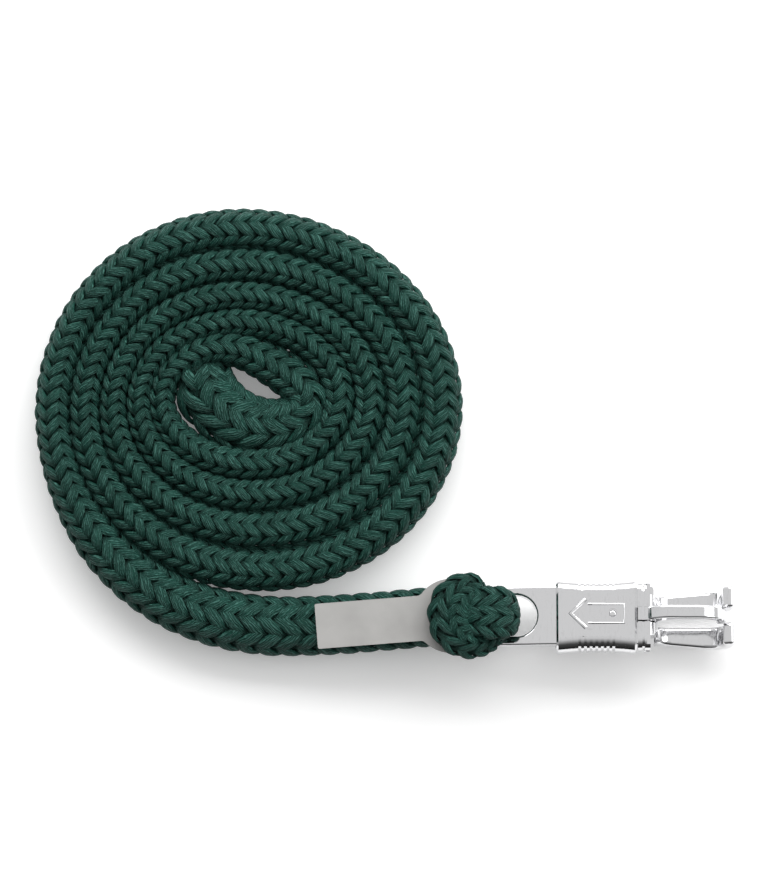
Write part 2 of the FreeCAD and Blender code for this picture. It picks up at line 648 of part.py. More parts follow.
os.makedirs("parts", exist_ok=True)
for part in parts:
    part.Shape.exportStep(os.path.join("parts", part.Label + ".step"))
    box = part.Shape.BoundBox
    print(f"{part.Label:18s} {part.Shape.Volume / 1000:8.2f} cm3  X {box.XMin:.1f} {box.XMax:.1f}  "
          f"Y {box.YMin:.1f} {box.YMax:.1f}  Z {box.ZMin:.2f} {box.ZMax:.2f}")
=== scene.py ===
import math

import bmesh
import bpy
import numpy as np
from mathutils import Matrix, Vector


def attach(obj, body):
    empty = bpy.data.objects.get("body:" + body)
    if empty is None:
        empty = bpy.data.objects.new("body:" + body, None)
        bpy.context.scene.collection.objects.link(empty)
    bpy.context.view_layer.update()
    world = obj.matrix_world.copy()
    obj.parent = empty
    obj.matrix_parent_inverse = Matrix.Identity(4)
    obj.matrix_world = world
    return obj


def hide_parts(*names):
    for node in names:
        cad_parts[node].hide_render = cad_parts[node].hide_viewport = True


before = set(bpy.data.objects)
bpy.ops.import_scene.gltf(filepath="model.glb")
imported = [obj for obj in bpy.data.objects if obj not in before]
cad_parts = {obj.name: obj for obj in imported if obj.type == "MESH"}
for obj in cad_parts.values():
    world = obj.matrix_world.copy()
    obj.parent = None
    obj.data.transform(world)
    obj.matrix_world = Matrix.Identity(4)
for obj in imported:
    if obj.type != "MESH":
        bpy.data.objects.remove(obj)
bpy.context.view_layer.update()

# A horse's lead rope, coiled flat and spliced round the eye of a quick-release snap.
# Lengths are in metres. The snap lies along +X, the surface is at z = 0.

MM = 0.001
rng = np.random.default_rng(7)

# ---------------------------------------------------------------- camera

VIEW_CENTRE = (-0.0931, 0.0740)
VIEW_HEIGHT = 0.3658
CAMERA_RISE = 2.6
SUBJECT_LEVEL = 0.014
SENSOR = 36.0


def add_camera():
    data = bpy.data.cameras.new("camera")
    data.sensor_width = SENSOR
    data.lens = SENSOR * (CAMERA_RISE - SUBJECT_LEVEL) / VIEW_HEIGHT
    camera = bpy.data.objects.new("camera", data)
    camera.location = (*VIEW_CENTRE, CAMERA_RISE)
    bpy.context.scene.collection.objects.link(camera)
    bpy.context.scene.camera = camera


# ---------------------------------------------------------------- the rope's line

# From the knot along the surface to the coil's outer turn.
TAIL_ROUTE = (
    (-0.0750, -0.0003), (-0.0970, -0.0023), (-0.1190, -0.0039), (-0.1420, -0.0043), (-0.1645, -0.0006),
    (-0.1864, 0.0082), (-0.2050, 0.0228), (-0.2192, 0.0416), (-0.2284, 0.0632), (-0.2316, 0.0852),
)
COIL_CENTRE = (-0.1499, 0.0886)
COIL_HALF_X = (0.0858, -0.0156, 0.00070)
COIL_HALF_Y = (0.0804, -0.0176, 0.00092)
COIL_DRIFT_X = (0.0039, -0.0014)
COIL_DRIFT_Y = (-0.0029, 0.00136)
COIL_LEAN = 0.042
COIL_STEPS = 24
COIL_LAST_STEP = 98
# The inner end: over the top of the last turn, round its right, and back below it.
END_ROUTE = (
    (-0.1678, 0.1125), (-0.1525, 0.1118), (-0.1420, 0.1064), (-0.1315, 0.0998), (-0.1245, 0.0935),
    (-0.1246, 0.0858), (-0.1323, 0.0800), (-0.1440, 0.0782), (-0.1568, 0.0824), (-0.1665, 0.0913),
    (-0.1692, 0.1004), (-0.1686, 0.1090),
)
TAIL_LEVEL = 0.01125
COIL_LEVEL = 0.0110


def polynomial(factors, turn):
    return sum(factor * turn ** power for power, factor in enumerate(factors))


def coil_point(turn):
    angle = 2 * math.pi * turn
    x = COIL_CENTRE[0] + polynomial(COIL_DRIFT_X, turn) - polynomial(COIL_HALF_X, turn) * math.cos(angle)
    x -= COIL_LEAN * polynomial(COIL_HALF_Y, turn) * max(math.sin(angle), 0.0) ** 2
    y = COIL_CENTRE[1] + polynomial(COIL_DRIFT_Y, turn) + polynomial(COIL_HALF_Y, turn) * math.sin(angle)
    return (x, y, COIL_LEVEL)


def spline_line(name, points, per_point=12):
    """The points along a smooth NURBS line that has these control points."""
    curve = bpy.data.curves.new(name, "CURVE")
    curve.dimensions = "3D"
    spline = curve.splines.new("NURBS")
    spline.points.add(len(points) - 1)
    for slot, point in zip(spline.points, points):
        slot.co = (*point, 1.0)
    spline.order_u = 3
    spline.use_endpoint_u = True
    spline.resolution_u = per_point
    holder = bpy.data.objects.new(name, curve)
    bpy.context.scene.collection.objects.link(holder)
    mesh = bpy.data.meshes.new_from_object(holder)
    line = np.array([vertex.co[:] for vertex in mesh.vertices])
    bpy.data.objects.remove(holder)
    bpy.data.meshes.remove(mesh)
    bpy.data.curves.remove(curve)
    return line


def lengths_along(line):
    return np.concatenate([[0.0], np.cumsum(np.linalg.norm(np.diff(line, axis=0), axis=1))])


def respaced(line, step):
    """The same line with points a step apart."""
    along = lengths_along(line)
    marks = np.linspace(0, along[-1], max(8, int(round(along[-1] / step)) + 1))
    return np.stack([np.interp(marks, along, line[:, axis]) for axis in range(3)], axis=1), marks


def smoothed(values, reach):
    window = np.hanning(2 * reach + 3)[1:-1]
    padded = np.pad(values, reach, mode="edge")
    return np.convolve(padded, window / window.sum(), mode="valid")


# ---------------------------------------------------------------- braid

STRANDS = 10            # of each hand; each makes one raised row along the rope
STRAND_SIDES = 9
CORE_SIDES = 24
SAME_POINT = 1e-7
LAY_SHARE = 1.28        # a strand's advance in one turn, in lengths of the rim
STRAND_DEPTH = 0.9      # how far in a strand's line runs, in strand thicknesses
CORE_DEPTH = 0.35


def section_frame(line, side_hint):
    """Along the line: its direction, the side that its width lies on, and the third direction."""
    ahead = np.gradient(line, axis=0)
    ahead /= np.linalg.norm(ahead, axis=1)[:, None]
    if side_hint is None:
        side = np.cross(np.array([0.0, 0.0, 1.0]), ahead)
    else:
        side = np.array(side_hint, dtype=float)[None, :] - (ahead @ np.array(side_hint))[:, None] * ahead
    side /= np.linalg.norm(side, axis=1)[:, None]
    return ahead, side, np.cross(ahead, side)


def around(turn, half_side, half_rise):
    """The section's own angle for an even step round its rim."""
    uneven = 0.5 * (half_rise - half_side) / (half_rise + half_side)
    return turn - uneven * np.sin(2 * turn)


def smooth_mesh(name, vertices, faces):
    mesh = bpy.data.meshes.new(name)
    mesh.from_pydata(vertices.tolist(), [], faces)
    mesh.polygons.foreach_set("use_smooth", [True] * len(faces))
    return mesh


def linked_piece(name, mesh):
    piece = bpy.data.objects.new(name, mesh)
    bpy.context.scene.collection.objects.link(piece)
    return piece


def strand_piece(name, vertices, faces, uv, raised):
    """A group of strands with its UV map and the height of each point in the braid, which the rope's
    colour uses for painted shade and painted sheen.
    """
    mesh = smooth_mesh(name, vertices, faces.tolist())
    corners = np.empty(len(mesh.loops), dtype=np.int32)
    mesh.loops.foreach_get("vertex_index", corners)
    layer = mesh.uv_layers.new(name="strand")
    layer.data.foreach_set("uv", uv[corners].astype(np.float32).ravel())
    attribute = mesh.attributes.new("raised", "FLOAT", "POINT")
    attribute.data.foreach_set("value", raised.astype(np.float32))
    mesh.update()
    # the points drawn in at both ends become one, so no strand is left open
    bm = bmesh.new()
    bm.from_mesh(mesh)
    bmesh.ops.remove_doubles(bm, verts=bm.verts, dist=SAME_POINT)
    bm.to_mesh(mesh)
    bm.free()
    return linked_piece(name, mesh)


def tube_faces(rings, sides):
    """Quads round a tube of rings, without its ends."""
    ring = np.arange(rings - 1)[:, None] * sides
    at = np.arange(sides)[None, :]
    after = (at + 1) % sides
    quads = np.stack([ring + at, ring + after, ring + sides + after, ring + sides + at], axis=-1)
    return quads.reshape(-1, 4)


def core_tube(name, line, frame_axes, half_side, half_rise, sides=CORE_SIDES):
    """The plain tube under the strands, closed at both ends."""
    _, side, rise = frame_axes
    turn = np.linspace(0, 2 * math.pi, sides, endpoint=False)[None, :]
    angle = around(turn, half_side[:, None], half_rise[:, None])
    rim = (line[:, None, :] + side[:, None, :] * (half_side[:, None] * np.cos(angle))[..., None]
           + rise[:, None, :] * (half_rise[:, None] * np.sin(angle))[..., None])
    vertices = rim.reshape(-1, 3)
    quads = tube_faces(len(line), sides)
    last = (len(line) - 1) * sides
    faces = quads.tolist()
    faces.append(list(range(sides))[::-1])
    faces.append(list(range(last, last + sides)))
    mesh = smooth_mesh(name, vertices, faces)
    mesh.update()
    return linked_piece(name, mesh)


def pitch_share(half_side, half_rise, lay):
    """How much narrower the strands lie than their spacing along the rope, from their slant."""
    rim = rim_length(half_side, half_rise)
    return rim / np.hypot(rim, lay)


def rim_length(half_side, half_rise):
    return math.pi * (3 * (half_side + half_rise)
                      - np.sqrt((3 * half_side + half_rise) * (half_side + 3 * half_rise)))


def strand_mesh(line, marks, frame_axes, half_side, half_rise, lay, number, hand, thick, uneven,
                ribs=STRAND_SIDES):
    """One strand of the braid: over two, under two, with a plump barrel where it shows."""
    _, side, rise = frame_axes
    steps = 2 * math.pi * np.diff(marks) / (0.5 * (lay[1:] + lay[:-1]))
    swing = np.concatenate([[0.0], np.cumsum(steps)])
    start = 2 * math.pi * (number + (0.25 if hand > 0 else 0.75)) / STRANDS
    turn = start + hand * swing
    wander = smoothed(rng.normal(0, 1, len(marks)), 5)
    turn = turn + 0.030 * uneven * wander
    wave = np.sin(0.5 * STRANDS * turn) * hand
    lift = np.sign(wave) * np.abs(wave) ** 0.6
    puff = uneven * smoothed(rng.normal(0, 1, len(marks)), 4)
    angle = around(turn, half_side, half_rise)
    out_side, out_rise = np.cos(angle) / half_side, np.sin(angle) / half_rise
    size = np.hypot(out_side, out_rise)
    out = side * (out_side / size)[:, None] + rise * (out_rise / size)[:, None]
    offset = thick * (0.40 * lift + 0.05 * puff)
    centre = (line + side * (half_side * np.cos(angle))[:, None]
              + rise * (half_rise * np.sin(angle))[:, None] + out * offset[:, None])
    along = np.gradient(centre, axis=0)
    along /= np.linalg.norm(along, axis=1)[:, None]
    out = out - np.sum(out * along, axis=1)[:, None] * along
    out /= np.linalg.norm(out, axis=1)[:, None]
    across = np.cross(along, out)
    crest = np.clip(lift, -1, 1)
    breadth = (lay / STRANDS * pitch_share(half_side, half_rise, lay)
               * (0.50 + 0.07 * crest + 0.02 * puff))
    height = thick * (0.50 + 0.10 * crest)
    ring = 2 * math.pi * (np.arange(ribs) + 0.5) / ribs
    flat = np.cos(ring)
    dome = np.sin(ring)
    dome = np.where(dome > 0, np.abs(dome) ** 0.8, 0.6 * dome)
    vertices = (centre[:, None, :] + across[:, None, :] * (breadth[:, None] * flat[None, :])[..., None]
                + out[:, None, :] * (height[:, None] * dome[None, :])[..., None])
    # the ring runs the other way from a core's, so its quads are turned to face outwards
    faces = tube_faces(len(line), ribs)[:, ::-1]
    # both ends draw in to a point that closes the strand
    for end in (0, -1):
        vertices[end] = centre[end]
    around_share = 0.5 - 0.5 * flat
    uv = np.stack([np.repeat(marks / MM + 31.7 * number + 7.3 * hand, ribs),
                   np.tile(around_share, len(line))], axis=-1)
    # the height in the braid, highest on a strand's crest: the rope's colour paints shade low down and
    # sheen high up from it
    raised = 0.5 + 0.32 * crest[:, None] + 0.22 * dome[None, :]
    return vertices.reshape(-1, 3), faces, uv, raised.reshape(-1)


def braid(name, line, marks, half_side, half_rise, thick, groups, side_hint=None, uneven=1.0):
    """The strands over a line, in groups of a few strands each, and the plain core under them."""
    axes = section_frame(line, side_hint)
    inner_side, inner_rise = half_side - STRAND_DEPTH * thick, half_rise - STRAND_DEPTH * thick
    lay = LAY_SHARE * rim_length(inner_side, inner_rise)
    pieces = []
    hands = [(number, hand) for hand in (1, -1) for number in range(STRANDS)]
    share = math.ceil(len(hands) / groups)
    for first in range(0, len(hands), share):
        parts = []
        count = 0
        for number, hand in hands[first:first + share]:
            vertices, faces, uv, raised = strand_mesh(
                line, marks, axes, inner_side, inner_rise, lay, number, hand, thick, uneven)
            parts.append((vertices, faces + count, uv, raised))
            count += len(vertices)
        vertices, faces, uv, raised = (np.concatenate(column) for column in zip(*parts))
        pieces.append(strand_piece(f"{name}_strands_{first // share + 1}", vertices, faces, uv, raised))
    core = core_tube(f"{name}_core", line, axes, inner_side - CORE_DEPTH * thick,
                     inner_rise - CORE_DEPTH * thick)
    return core, pieces


# ---------------------------------------------------------------- materials

def colour(red, green, blue):
    """Linear light for a colour given in eight-bit steps."""
    return tuple(((step / 255 + 0.055) / 1.055) ** 2.4 if step > 10 else step / 3294
                 for step in (red, green, blue)) + (1.0,)


def new_material(name):
    material = bpy.data.materials.new(name)
    material.use_nodes = True
    tree = material.node_tree
    return material, tree.nodes, tree.links, tree.nodes["Principled BSDF"]


def make_group(name, inputs, outputs):
    group = bpy.data.node_groups.new(name, "ShaderNodeTree")
    for title, kind, value in inputs:
        socket = group.interface.new_socket(title, in_out="INPUT", socket_type=kind)
        socket.default_value = value
    for title, kind in outputs:
        group.interface.new_socket(title, in_out="OUTPUT", socket_type=kind)
    return group, group.nodes.new("NodeGroupInput"), group.nodes.new("NodeGroupOutput")


def node(tree, kind, **values):
    made = tree.nodes.new(kind)
    for key, value in values.items():
        if key.startswith("in_"):
            made.inputs[int(key[3:])].default_value = value
        else:
            setattr(made, key, value)
    return made


def filament_group():
    """Fine lines along a strand: a height, a mask of the filament crests for a painted sheen, and slow
    patches.
    """
    group, entry, leave = make_group(
        "filaments", [("Lines", "NodeSocketFloat", 6.0)],
        [("Height", "NodeSocketFloat"), ("PaintedSheen", "NodeSocketFloat"), ("Patch", "NodeSocketFloat")])
    link = group.links.new
    place = node(group, "ShaderNodeUVMap", uv_map="strand")
    split = node(group, "ShaderNodeSeparateXYZ")
    link(place.outputs["UV"], split.inputs[0])
    slow = node(group, "ShaderNodeMath", operation="MULTIPLY", in_1=0.20)
    link(split.outputs["X"], slow.inputs[0])
    wide = node(group, "ShaderNodeMath", operation="MULTIPLY", in_1=3.0)
    link(split.outputs["Y"], wide.inputs[0])
    place_slow = node(group, "ShaderNodeCombineXYZ")
    link(slow.outputs[0], place_slow.inputs["X"])
    link(wide.outputs[0], place_slow.inputs["Y"])
    bend = node(group, "ShaderNodeTexNoise")
    bend.inputs["Scale"].default_value = 1.3
    bend.inputs["Detail"].default_value = 3.0
    link(place_slow.outputs[0], bend.inputs["Vector"])
    lines = node(group, "ShaderNodeMath", operation="MULTIPLY")
    link(split.outputs["Y"], lines.inputs[0])
    link(entry.outputs["Lines"], lines.inputs[1])
    drift = node(group, "ShaderNodeMath", operation="MULTIPLY_ADD", in_1=3.2)
    link(bend.outputs[0], drift.inputs[0])
    link(lines.outputs[0], drift.inputs[2])
    turns = node(group, "ShaderNodeMath", operation="MULTIPLY", in_1=2 * math.pi)
    link(drift.outputs[0], turns.inputs[0])
    wave = node(group, "ShaderNodeMath", operation="SINE")
    link(turns.outputs[0], wave.inputs[0])
    height = node(group, "ShaderNodeMapRange", in_1=-1.0, in_2=1.0)
    link(wave.outputs[0], height.inputs[0])
    place_fine = node(group, "ShaderNodeCombineXYZ")
    link(slow.outputs[0], place_fine.inputs["X"])
    link(lines.outputs[0], place_fine.inputs["Y"])
    fine = node(group, "ShaderNodeTexNoise")
    fine.inputs["Scale"].default_value = 2.3
    fine.inputs["Detail"].default_value = 4.0
    fine.inputs["Roughness"].default_value = 0.65
    link(place_fine.outputs[0], fine.inputs["Vector"])
    mixed = node(group, "ShaderNodeMath", operation="MULTIPLY")
    link(height.outputs[0], mixed.inputs[0])
    link(fine.outputs[0], mixed.inputs[1])
    # the crests of the filament lines, where a painted sheen goes
    painted_sheen = node(group, "ShaderNodeMapRange", in_1=0.22, in_2=0.58)
    link(mixed.outputs[0], painted_sheen.inputs[0])
    spread = node(group, "ShaderNodeTexNoise")
    spread.inputs["Scale"].default_value = 0.11
    spread.inputs["Detail"].default_value = 1.0
    link(place.outputs["UV"], spread.inputs["Vector"])
    link(mixed.outputs[0], leave.inputs["Height"])
    link(painted_sheen.outputs[0], leave.inputs["PaintedSheen"])
    link(spread.outputs[0], leave.inputs["Patch"])
    return group


def rope_material(filaments):
    material, nodes, links, shader = new_material("rope_green")
    lines = nodes.new("ShaderNodeGroup")
    lines.node_tree = filaments
    lines.inputs["Lines"].default_value = 6.0
    # painted shade: the colour darkens from the strands' tops down into the grooves between them, by
    # each point's height in the braid
    raised = nodes.new("ShaderNodeAttribute")
    raised.attribute_name = "raised"
    depth = nodes.new("ShaderNodeValToRGB")
    depth.color_ramp.elements[0].position = 0.18
    depth.color_ramp.elements[0].color = colour(3, 23, 17)
    depth.color_ramp.elements[1].position = 0.92
    depth.color_ramp.elements[1].color = colour(22, 64, 55)
    links.new(raised.outputs["Fac"], depth.inputs[0])
    # painted sheen: a paler green on the filament crests, stronger on the raised strands
    painted_sheen = nodes.new("ShaderNodeMix")
    painted_sheen.data_type = "RGBA"
    painted_sheen.inputs[7].default_value = colour(74, 120, 110)
    sheen_on_raised = nodes.new("ShaderNodeMath")
    sheen_on_raised.operation = "MULTIPLY"
    links.new(lines.outputs["PaintedSheen"], sheen_on_raised.inputs[0])
    links.new(raised.outputs["Fac"], sheen_on_raised.inputs[1])
    links.new(sheen_on_raised.outputs[0], painted_sheen.inputs[0])
    links.new(depth.outputs[0], painted_sheen.inputs[6])
    patch = nodes.new("ShaderNodeMapRange")
    for index, value in enumerate((0.3, 0.7, 0.78, 1.15), start=1):
        patch.inputs[index].default_value = value
    links.new(lines.outputs["Patch"], patch.inputs[0])
    shade = nodes.new("ShaderNodeMix")
    shade.data_type = "RGBA"
    shade.blend_type = "MULTIPLY"
    shade.inputs[0].default_value = 1.0
    links.new(painted_sheen.outputs[2], shade.inputs[6])
    links.new(patch.outputs[0], shade.inputs[7])
    links.new(shade.outputs[2], shader.inputs["Base Color"])
    gloss = nodes.new("ShaderNodeMapRange")
    gloss.inputs[3].default_value = 0.62
    gloss.inputs[4].default_value = 0.42
    links.new(lines.outputs["Height"], gloss.inputs[0])
    links.new(gloss.outputs[0], shader.inputs["Roughness"])
    shader.inputs["Specular IOR Level"].default_value = 0.16
    bump = nodes.new("ShaderNodeBump")
    bump.inputs["Strength"].default_value = 1.0
    bump.inputs["Distance"].default_value = 0.0014
    links.new(lines.outputs["Height"], bump.inputs["Height"])
    links.new(bump.outputs[0], shader.inputs["Normal"])
    return material


def core_material():
    """The inside of the braid, seen only between strands, with painted shade: coloured darker than the
    strands.
    """
    material, nodes, links, shader = new_material("rope_inside")
    place = nodes.new("ShaderNodeTexCoord")
    grain = nodes.new("ShaderNodeTexNoise")
    grain.inputs["Scale"].default_value = 900.0
    links.new(place.outputs["Object"], grain.inputs["Vector"])
    ramp = nodes.new("ShaderNodeValToRGB")
    ramp.color_ramp.elements[0].color = colour(3, 17, 14)
    ramp.color_ramp.elements[1].color = colour(12, 36, 30)
    links.new(grain.outputs[0], ramp.inputs[0])
    links.new(ramp.outputs[0], shader.inputs["Base Color"])
    shader.inputs["Roughness"].default_value = 0.9
    return material


def wear_group():
    """Faint waves of a casting under its plating, and fine scuffs."""
    group, entry, leave = make_group(
        "plating", [("Waves", "NodeSocketFloat", 120.0), ("Scuffs", "NodeSocketFloat", 900.0)],
        [("Height", "NodeSocketFloat"), ("Scuff", "NodeSocketFloat")])
    link = group.links.new
    place = node(group, "ShaderNodeTexCoord")
    waves = node(group, "ShaderNodeTexNoise")
    waves.inputs["Detail"].default_value = 2.0
    link(place.outputs["Object"], waves.inputs["Vector"])
    link(entry.outputs["Waves"], waves.inputs["Scale"])
    stretch = node(group, "ShaderNodeMapping")
    stretch.inputs["Rotation"].default_value = (0.2, 0.1, 0.7)
    stretch.inputs["Scale"].default_value = (1.0, 0.12, 1.0)
    link(place.outputs["Object"], stretch.inputs["Vector"])
    scuffs = node(group, "ShaderNodeTexNoise")
    scuffs.inputs["Detail"].default_value = 4.0
    scuffs.inputs["Roughness"].default_value = 0.7
    link(stretch.outputs[0], scuffs.inputs["Vector"])
    link(entry.outputs["Scuffs"], scuffs.inputs["Scale"])
    ramp = node(group, "ShaderNodeMapRange", in_1=0.55, in_2=0.8)
    link(scuffs.outputs[0], ramp.inputs[0])
    link(waves.outputs[0], leave.inputs["Height"])
    link(ramp.outputs[0], leave.inputs["Scuff"])
    return group


def metal_material(name, plating, tint, smooth, scuffed, wave_depth):
    material, nodes, links, shader = new_material(name)
    wear = nodes.new("ShaderNodeGroup")
    wear.node_tree = plating
    shader.inputs["Metallic"].default_value = 1.0
    tone = nodes.new("ShaderNodeMix")
    tone.data_type = "RGBA"
    tone.inputs[6].default_value = tint
    tone.inputs[7].default_value = tuple(0.86 * c for c in tint[:3]) + (1.0,)
    links.new(wear.outputs["Scuff"], tone.inputs[0])
    links.new(tone.outputs[2], shader.inputs["Base Color"])
    gloss = nodes.new("ShaderNodeMapRange")
    gloss.inputs[3].default_value = smooth
    gloss.inputs[4].default_value = scuffed
    links.new(wear.outputs["Scuff"], gloss.inputs[0])
    links.new(gloss.outputs[0], shader.inputs["Roughness"])
    bump = nodes.new("ShaderNodeBump")
    bump.inputs["Strength"].default_value = 0.25
    bump.inputs["Distance"].default_value = wave_depth
    links.new(wear.outputs["Height"], bump.inputs["Height"])
    links.new(bump.outputs[0], shader.inputs["Normal"])
    return material


def tag_material():
    material, nodes, links, shader = new_material("tag_grey")
    place = nodes.new("ShaderNodeTexCoord")
    grain = nodes.new("ShaderNodeTexNoise")
    grain.inputs["Scale"].default_value = 1400.0
    grain.inputs["Detail"].default_value = 3.0
    links.new(place.outputs["Object"], grain.inputs["Vector"])
    mottle = nodes.new("ShaderNodeTexNoise")
    mottle.inputs["Scale"].default_value = 90.0
    links.new(place.outputs["Object"], mottle.inputs["Vector"])
    ramp = nodes.new("ShaderNodeValToRGB")
    ramp.color_ramp.elements[0].position = 0.3
    ramp.color_ramp.elements[0].color = colour(158, 157, 155)
    ramp.color_ramp.elements[1].position = 0.7
    ramp.color_ramp.elements[1].color = colour(168, 167, 165)
    links.new(mottle.outputs[0], ramp.inputs[0])
    links.new(ramp.outputs[0], shader.inputs["Base Color"])
    shader.inputs["Roughness"].default_value = 0.55
    bump = nodes.new("ShaderNodeBump")
    bump.inputs["Strength"].default_value = 0.3
    bump.inputs["Distance"].default_value = 0.0001
    links.new(grain.outputs[0], bump.inputs["Height"])
    links.new(bump.outputs[0], shader.inputs["Normal"])
    return material


# ---------------------------------------------------------------- rope pieces

STRAND_THICK = 0.0022
LOOP_STRAND_THICK = 0.0014
ROPE_STEP = 0.0011
LOOP_STEP = 0.0009
LOOP_UNEVEN = 0.3
# Half the rope's width: doubled beside the splice, and the most and least in the coil.
DOUBLED_HALF = 0.0126
SINGLE_HALF = 0.0092
LEAST_HALF = 0.0045
TURN_OVERLAP = 0.0013
SAME_TURN = 0.055       # points nearer than this along the rope aren't each other's neighbours
TAPER_END = 0.20
TAPER_LENGTH = 0.13
COIL_RISE = 0.0109
TAIL_RISE = 0.0111
END_DOME = 0.011
# half the rope's width at these distances from its inner end
END_PROFILE = (
    (0.0, 0.0132), (0.020, 0.0140), (0.042, 0.0129), (0.066, 0.0104), (0.103, 0.0083), (0.140, 0.0058),
)


def round_end(marks, end, radius):
    """Shrinks to nothing over the last stretch before an end, as a dome does."""
    left = np.clip(np.abs(marks - end) / radius, 0.0, 1.0)
    return np.sqrt(np.clip(1 - (1 - left) ** 2, 0.04, 1.0))


def finish_rope(core, strands, cover, inside):
    for piece in strands:
        piece.data.materials.append(cover)
    core.data.materials.append(inside)
    for piece in [core] + strands:
        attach(piece, "rope")


def make_rope(cover, inside):
    control = [(x, y, TAIL_LEVEL) for x, y in TAIL_ROUTE]
    control += [coil_point(step / COIL_STEPS) for step in range(1, COIL_LAST_STEP + 1)]
    control += [(x, y, COIL_LEVEL) for x, y in END_ROUTE]
    path = spline_line("rope_line", control)
    line, marks = respaced(path, ROPE_STEP)
    total = marks[-1]
    # half the distance to the next turn, where there is one
    flat = line[:, :2]
    apart = np.linalg.norm(flat[:, None, :] - flat[None, :, :], axis=2)
    apart[np.abs(marks[:, None] - marks[None, :]) < SAME_TURN] = 1.0
    half_gap = 0.5 * apart.min(axis=1) + TURN_OVERLAP
    side = np.clip(half_gap, LEAST_HALF, SINGLE_HALF)
    tail_share = np.clip((TAPER_END - marks) / TAPER_LENGTH, 0, 1)
    tail_share = tail_share * tail_share * (3 - 2 * tail_share)
    side = side + (DOUBLED_HALF - side) * tail_share
    left, widths = zip(*END_PROFILE)
    end_side = np.interp(total - marks, left, widths)
    side = smoothed(np.where(total - marks < left[-1], np.maximum(end_side, side), side), 9)
    rise = COIL_RISE + (TAIL_RISE - COIL_RISE) * tail_share
    dome = round_end(marks, total, END_DOME)
    core, strands = braid("rope", line, marks, side * dome, rise * dome, STRAND_THICK, 5)
    finish_rope(core, strands, cover, inside)
    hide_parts("rope_coil", "rope_tail", "rope_tucked_end")


def loop_piece(name, control, halves, thick, groups, side_hint, node_name, cover, inside):
    """A short braided loop of the splice, with half its width and half its depth at each point."""
    path = spline_line(name, control)
    line, marks = respaced(path, LOOP_STEP)
    at = np.linspace(0, marks[-1], len(control))
    side = smoothed(np.interp(marks, at, [half[0] for half in halves]), 4)
    rise = smoothed(np.interp(marks, at, [half[1] for half in halves]), 4)
    core, strands = braid(name, line, marks, side, rise, thick, groups, side_hint, LOOP_UNEVEN)
    finish_rope(core, strands, cover, inside)
    if node_name:
        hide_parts(node_name)


ROLL = math.radians(12)
ROLLED_SIDE = (0.0, math.cos(ROLL), -math.sin(ROLL))


def make_splice(cover, inside):
    # the doubled rope between the tail and the loops, under the tag
    loop_piece(
        "throat",
        [(-0.0790, -0.0005, 0.01125), (-0.0720, -0.0002, 0.01125), (-0.0650, 0.0003, 0.0113),
         (-0.0590, 0.0005, 0.0114), (-0.0545, 0.0006, 0.0116)],
        [(0.0124, 0.0111), (0.0124, 0.0111), (0.0118, 0.0108), (0.0098, 0.0092), (0.0055, 0.0055)],
        STRAND_THICK, 2, None, "", cover, inside)
    # the turn of rope that lies over the tag's ring
    loop_piece(
        "knot_turn",
        [(-0.0535, 0.0090, 0.0215), (-0.0565, 0.0122, 0.0262), (-0.0600, 0.0112, 0.0282),
         (-0.0640, 0.0072, 0.0290), (-0.0652, 0.0015, 0.0290), (-0.0640, -0.0050, 0.0288),
         (-0.0585, -0.0092, 0.0280), (-0.0520, -0.0092, 0.0262), (-0.0470, -0.0070, 0.0235),
         (-0.0440, -0.0045, 0.0200)],
        [(0.0040, 0.0034), (0.0066, 0.0042), (0.0090, 0.0048), (0.0104, 0.0050), (0.0106, 0.0050),
         (0.0100, 0.0050), (0.0088, 0.0048), (0.0074, 0.0044), (0.0056, 0.0036), (0.0036, 0.0030)],
        LOOP_STRAND_THICK, 2, None, "rope_knot", cover, inside)
    # the loop through the snap's eye and back
    loop_piece(
        "eye_loop",
        [(-0.0600, 0.0024, 0.0262), (-0.0560, 0.0024, 0.0288), (-0.0510, 0.0024, 0.0300),
         (-0.0450, 0.0020, 0.0292), (-0.0404, 0.0013, 0.0250), (-0.0397, 0.0003, 0.0180),
         (-0.0412, -0.0006, 0.0115), (-0.0465, -0.0014, 0.0066), (-0.0530, -0.0012, 0.0056),
         (-0.0600, -0.0008, 0.0064), (-0.0640, -0.0004, 0.0080)],
        [(0.0070, 0.0036), (0.0104, 0.0044), (0.0118, 0.0047), (0.0112, 0.0047), (0.0086, 0.0038),
         (0.0078, 0.0032), (0.0079, 0.0032), (0.0082, 0.0036), (0.0086, 0.0042), (0.0088, 0.0048),
         (0.0074, 0.0042)],
        LOOP_STRAND_THICK, 2, ROLLED_SIDE, "rope_bight", cover, inside)


# ---------------------------------------------------------------- the arrow on the sleeve

SNAP_LEVEL = 0.01495
FACE_LEVEL = 0.0075
ARROW_HEAD = ((-0.0092, 0.0060), (-0.0156, 0.0000), (-0.0092, -0.0060))
ARROW_SHAFT = ((-0.0084, 0.0040), (0.0066, 0.0040), (0.0066, -0.0040), (-0.0084, -0.0040))


